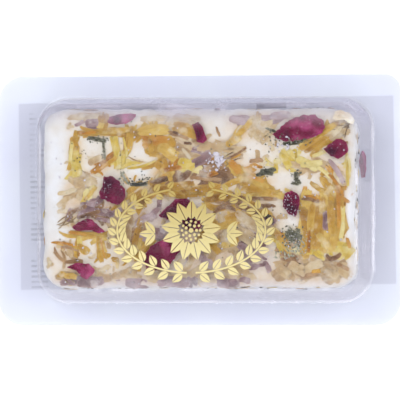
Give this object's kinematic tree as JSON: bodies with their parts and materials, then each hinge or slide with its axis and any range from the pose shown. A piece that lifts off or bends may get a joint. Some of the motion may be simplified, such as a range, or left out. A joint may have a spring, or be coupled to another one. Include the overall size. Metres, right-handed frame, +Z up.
{
  "type": "packed goat cheese with flower petals",
  "caption": "Fresh goat cheese block topped with marigold strips, rose petals and herbs, sealed flat in a clear pack with a domed lid and a sealed flange.",
  "frame": {"origin": "middle of the pack's underside, on the surface that it lies on", "axes": "+X along the pack's long side, +Y to its back edge, +Z up through the dome"},
  "size_m": [0.13, 0.08, 0.0223],
  "materials": {
    "label_paper": "matt, grey-lilac",
    "lilac_film": "satin, pale lilac",
    "clear_plastic": "clear and glossy",
    "goat_cheese": "moist, crumbly, cream-white",
    "rose_petal": "dried petal, satin",
    "cream_petal": "dried petal, satin",
    "marigold_strip": "dried petal, satin",
    "herb_flake": "dried leaf, matt",
    "gold_foil": "satin metallic foil"
  },
  "bodies": {
    "root": {"back_label": "label_paper", "bottom_film": "lilac_film", "clear_dome": "clear_plastic", "cheese": "goat_cheese", "cream_petal": "cream_petal", "rose_petal_01": "rose_petal", "rose_petal_02": "rose_petal", "rose_petal_03": "rose_petal", "rose_petal_04": "rose_petal", "rose_petal_05": "rose_petal", "rose_petal_06": "rose_petal", "rose_petal_07": "rose_petal", "rose_petal_08": "rose_petal", "rose_petal_09": "rose_petal", "rose_petal_10": "rose_petal", "rose_petal_11": "rose_petal", "rose_petal_12": "rose_petal"}
  },
  "joints": []
}
